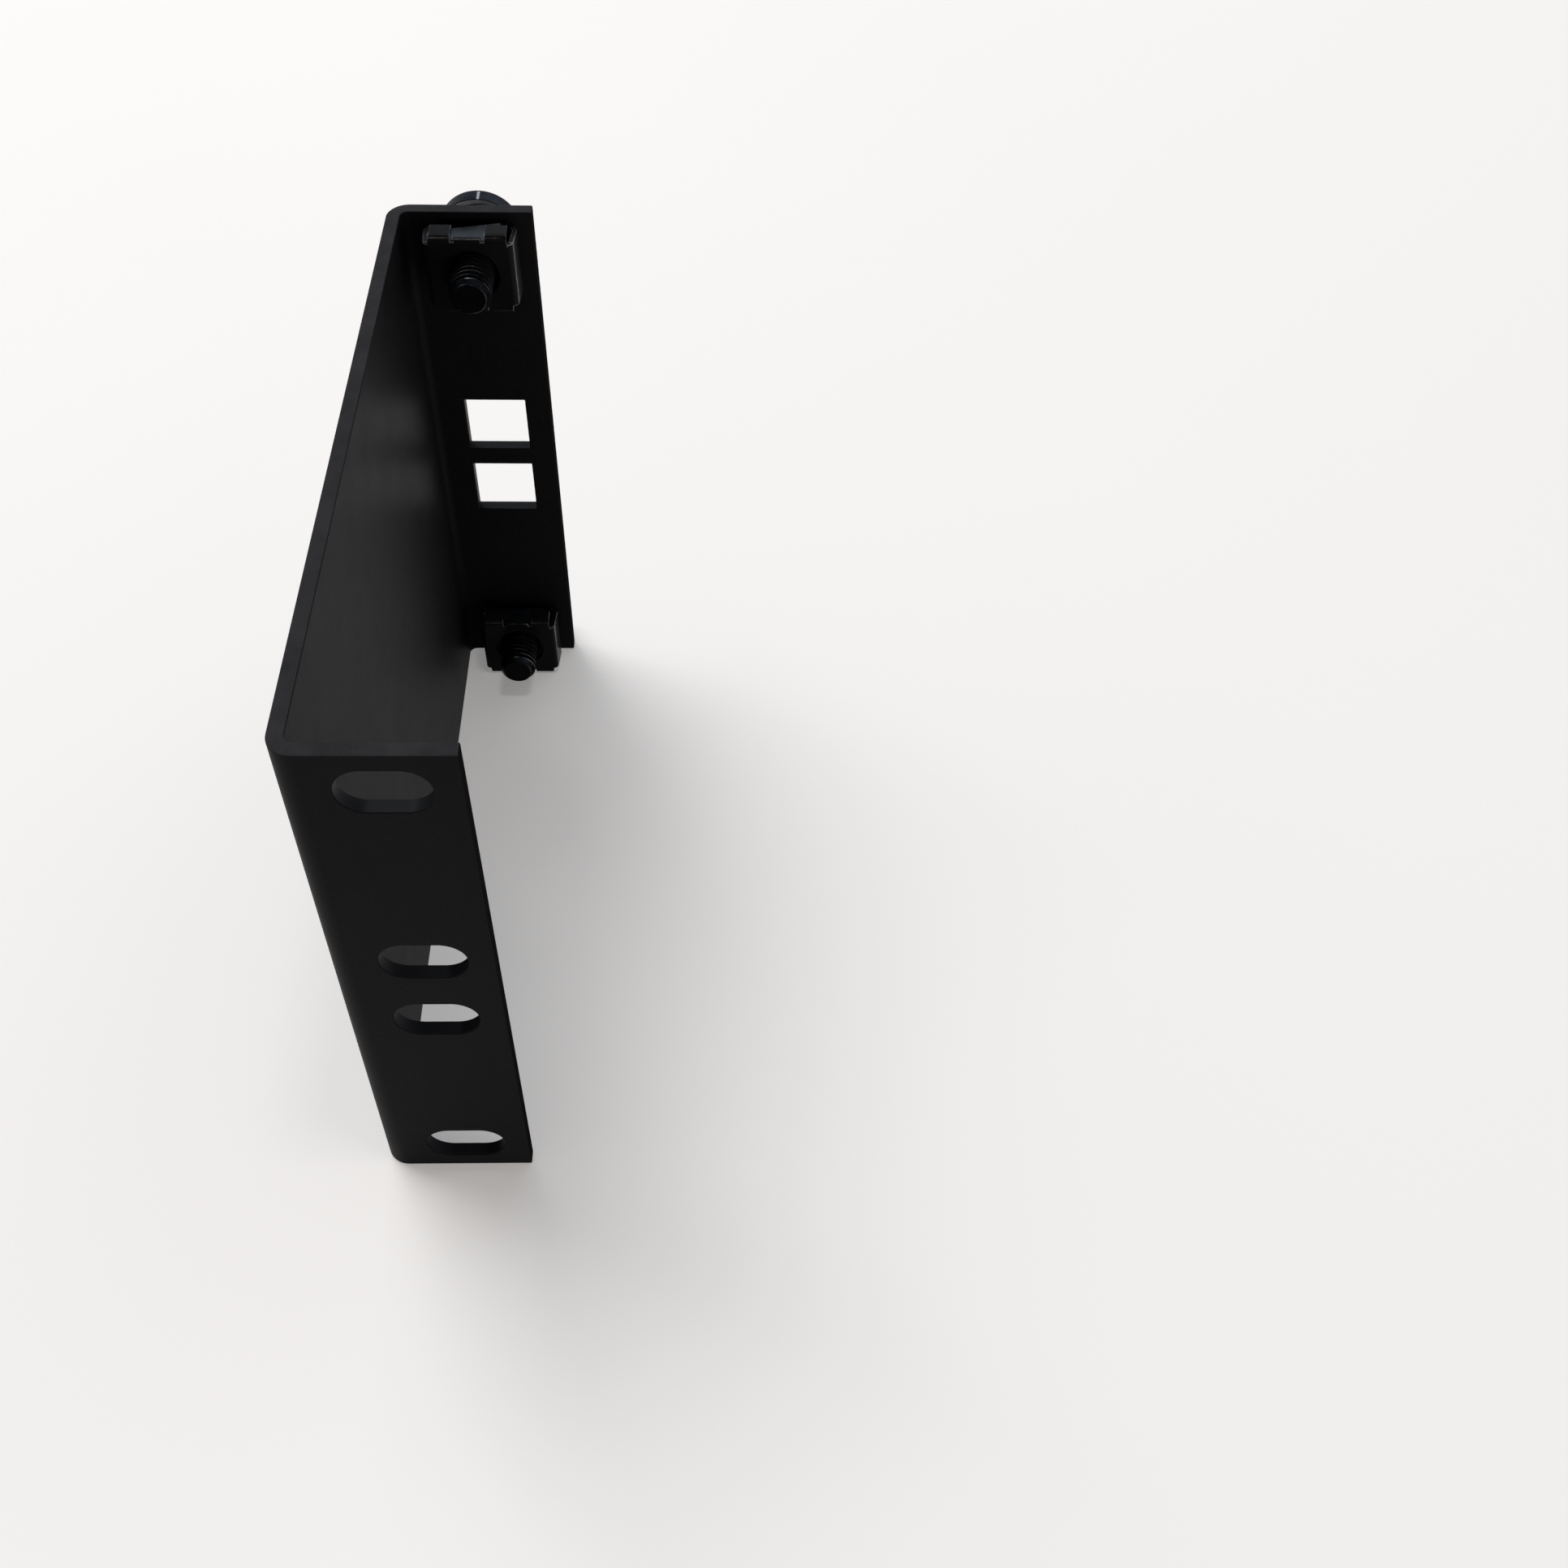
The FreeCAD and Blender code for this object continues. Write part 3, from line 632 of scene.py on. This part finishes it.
def cutThread(bm):
    # one pitch of the thread form, spun up the shank; its ends are trimmed flat and closed
    crest = screw["diameter"] / 2
    root = crest - screw["rootDepth"]
    start = screw["threadStart"]
    turns = math.ceil((tip - start) / screw["pitch"]) + 1
    rise = screw["rootFlat"] + (1 - screw["rootFlat"] - screw["crestFlat"]) / 2
    form = [
        (root, 0), (root, screw["rootFlat"]), (crest, rise), (crest, rise + screw["crestFlat"]), (root, 1.0),
    ]
    verts = [bm.verts.new((x, 0, z * screw["pitch"] + start)) for x, z in form]
    edges = [bm.edges.new(pair) for pair in zip(verts, verts[1:])]
    bmesh.ops.spin(
        bm, geom=verts + edges, cent=(0, 0, 0), axis=(0, 0, 1), angle=math.tau * turns,
        dvec=(0, 0, screw["pitch"] / screw["threadSides"]), steps=screw["threadSides"] * turns,
        use_merge=False,
    )
    bmesh.ops.remove_doubles(bm, verts=bm.verts[:], dist=near)
    for level, side in ((tip, 1), (0, -1)):
        cut = bmesh.ops.bisect_plane(
            bm, geom=bm.verts[:] + bm.edges[:] + bm.faces[:],
            plane_co=(0, 0, level), plane_no=(0, 0, side), clear_outer=True,
        )["geom_cut"]
        ring = [e for e in cut if isinstance(e, bmesh.types.BMEdge)]
        bmesh.ops.edgenet_fill(bm, edges=ring)
    # the crests take the bright edge finish as a painted highlight along the thread
    for face in bm.faces:
        onCrest = all(vert.co.xy.length > crest - near for vert in face.verts)
        face.material_index = 2 if onCrest else 1
    for vert in bm.verts:  # chamfered tip
        limit = crest - screw["tipChamfer"] + (tip - vert.co.z)
        if vert.co.xy.length > limit:
            vert.co.xy *= limit / vert.co.xy.length
    for face in bm.faces:
        if tip - screw["tipChamfer"] < face.calc_center_median().z < tip - screw["tipSkin"]:
            face.material_index = 3  # painted highlight on the chamfer, without the end face
    bmesh.ops.recalc_face_normals(bm, faces=bm.faces[:])


def makeScrew(name, node):
    bm = bmesh.new()
    spinProfile(bm, headProfile(), screw["headSides"])
    bmesh.ops.holes_fill(bm, edges=bm.edges[:], sides=0)
    bmesh.ops.recalc_face_normals(bm, faces=bm.faces[:])
    cutRecess(bm)
    shank = bmesh.new()
    cutThread(shank)
    neckLow = headSeat - screw["neckSink"]
    neck = bmesh.ops.create_cone(
        shank, cap_ends=True, segments=screw["neckSides"], radius1=neckRadius, radius2=neckRadius,
        depth=screw["neckTop"] - neckLow,
    )["verts"]
    bmesh.ops.translate(shank, verts=neck, vec=(0, 0, (screw["neckTop"] + neckLow) / 2))
    mesh = bpy.data.meshes.new("shank")
    shank.to_mesh(mesh)
    shank.free()
    bm.from_mesh(mesh)
    bpy.data.meshes.remove(mesh)
    seatAtHole(bm, node)
    finishPiece(bm, name, node, [
        glossZincScrew, dullZincShank, rubbedEdgeAndPaintedHighlight, paintedHighlightTip,
    ], sharp=screw["sharpAngle"])


for level, turn in (("upper", nut["upperTurn"]), ("lower", 0)):
    makeCage(f"{level}SpringCage", f"{level}_cage")
    makeNut(f"{level}SquareNut", f"{level}_nut", turn)
    makeWasher(f"{level}FlatWasher", f"{level}_washer")
    makeScrew(f"{level}PanScrew", f"{level}_screw")


# studio, in metres: pale floor, bright horizon and three lamps

studio = {
    "floor": "#f8f6f3", "floorCloud": "#fbf9f7", "floorCloudMm": 166.667, "floorSize": 3.0, "floorBack": 0.05,
    "floorGap": 0.00002, "floorRough": 0.9, "floorSpecular": 0.1, "floorLift": 0.20,
    "horizon": "#ffffff", "backSky": "#b9c3cf", "frontSky": "#66594e", "worldStrength": 0.95,
    "horizonBand": (0.12, 0.42), "backBand": (-0.1, 0.7), "aim": (0, 0.05, 0),
    "softPlace": (-1.00, 1.10, 2.05), "softSize": 1.5, "softPower": 34.0,  # left and behind
    "spotPlace": (0.41, -0.10, 2.50), "spotSize": 0.30, "spotPower": 5.0,  # from above
    "rimPlace": (-0.21, 2.15, 1.29), "rimSize": 0.15, "rimPower": 0.65,  # streak on the head
}


def makeFloor():
    bm = bmesh.new()
    bmesh.ops.create_grid(bm, x_segments=4, y_segments=4, size=studio["floorSize"] / 2)
    ground = cadBox[0][2] - studio["floorGap"]
    bmesh.ops.translate(bm, verts=bm.verts[:], vec=(0, studio["floorBack"], ground))
    mesh = bpy.data.meshes.new("studioFloor")
    bm.to_mesh(mesh)
    bm.free()
    material = bpy.data.materials.new("mattPaper")
    material.use_nodes = True
    tree = material.node_tree
    shader = tree.nodes["Principled BSDF"]
    place = addNode(tree, "ShaderNodeTexCoord").outputs["Object"]
    cloud = addNode(tree, "ShaderNodeTexNoise", {
        "Scale": 1 / (studio["floorCloudMm"] * mm), "Detail": 2.0,
    }, {"Vector": place}).outputs["Fac"]
    colour = addNode(tree, "ShaderNodeMix", {
        "data_type": "RGBA", 6: linear(studio["floor"]), 7: linear(studio["floorCloud"]),
    }, {0: cloud}).outputs[2]
    tree.links.new(colour, shader.inputs["Base Color"])
    shader.inputs["Roughness"].default_value = studio["floorRough"]
    shader.inputs["Specular IOR Level"].default_value = studio["floorSpecular"]
    # lifts the lit paper to white where it is seen, straight or in a reflection; its shadow stays
    path = addNode(tree, "ShaderNodeLightPath").outputs
    seen = path["Is Camera Ray"]
    for ray in ("Is Glossy Ray", "Is Transmission Ray"):
        seen = addNode(
            tree, "ShaderNodeMath", {"operation": "MAXIMUM"}, {0: seen, 1: path[ray]},
        ).outputs[0]
    lift = addNode(
        tree, "ShaderNodeMath", {"operation": "MULTIPLY", 1: studio["floorLift"]}, {0: seen},
    ).outputs[0]
    shader.inputs["Emission Color"].default_value = (1, 1, 1, 1)
    tree.links.new(lift, shader.inputs["Emission Strength"])
    mesh.materials.append(material)
    floor = bpy.data.objects.new("studioFloor", mesh)
    scene.collection.objects.link(floor)


def makeWorld():
    # white at the horizon, and above it a cool sky behind and a dim warm one in front
    world = bpy.data.worlds.new("studioWorld")
    scene.world = world
    world.use_nodes = True
    tree = world.node_tree
    background = tree.nodes["Background"]
    direction = addNode(tree, "ShaderNodeTexCoord").outputs["Generated"]
    axes = addNode(tree, "ShaderNodeSeparateXYZ", {}, {"Vector": direction}).outputs
    climb = addNode(tree, "ShaderNodeMapRange", {
        "From Min": studio["horizonBand"][0], "From Max": studio["horizonBand"][1],
    }, {"Value": axes["Z"]}).outputs["Result"]
    behind = addNode(tree, "ShaderNodeMapRange", {
        "From Min": studio["backBand"][0], "From Max": studio["backBand"][1],
    }, {"Value": axes["Y"]}).outputs["Result"]
    sky = addNode(tree, "ShaderNodeMix", {
        "data_type": "RGBA", 6: linear(studio["frontSky"]), 7: linear(studio["backSky"]),
    }, {0: behind}).outputs[2]
    colour = addNode(tree, "ShaderNodeMix", {
        "data_type": "RGBA", 6: linear(studio["horizon"]),
    }, {0: climb, 7: sky}).outputs[2]
    tree.links.new(colour, background.inputs["Color"])
    background.inputs["Strength"].default_value = studio["worldStrength"]


def makeLamp(kind):
    name = f"{kind}Lamp"
    place = Vector(studio[f"{kind}Place"])
    lamp = bpy.data.lights.new(name, "AREA")
    lamp.shape = "SQUARE"
    lamp.size = studio[f"{kind}Size"]
    lamp.energy = studio[f"{kind}Power"]
    holder = bpy.data.objects.new(name, lamp)
    holder.location = place
    holder.rotation_euler = (Vector(studio["aim"]) - place).to_track_quat("-Z", "Y").to_euler()
    scene.collection.objects.link(holder)


# camera, in metres: place and direction fitted to the hole corners and edges seen in the photograph

view = {
    "place": (0.037168, -0.120666, 0.181076), "right": (0.99953621, -0.02048415, 0.02253375),
    "up": (0.00097264, 0.76105441, 0.64868731), "ahead": (0.03043722, 0.64836454, -0.76072137),
    "sensor": 36.0, "lens": 39.912, "nearest": 0.005, "farthest": 20,
}


def makeCamera():
    data = bpy.data.cameras.new("photoCamera")
    data.sensor_fit = "HORIZONTAL"
    data.sensor_width = view["sensor"]
    data.lens = view["lens"]
    data.clip_start = view["nearest"]
    data.clip_end = view["farthest"]
    camera = bpy.data.objects.new("photoCamera", data)
    axes = (Vector(view["right"]), Vector(view["up"]), -Vector(view["ahead"]))
    camera.matrix_world = Matrix.Translation(view["place"]) @ Matrix(axes).transposed().to_4x4()
    scene.collection.objects.link(camera)
    scene.camera = camera


makeFloor()
makeWorld()
for kind in ("soft", "spot", "rim"):
    makeLamp(kind)
makeCamera()
scene.view_settings.view_transform = "Standard"
print("studio ready")
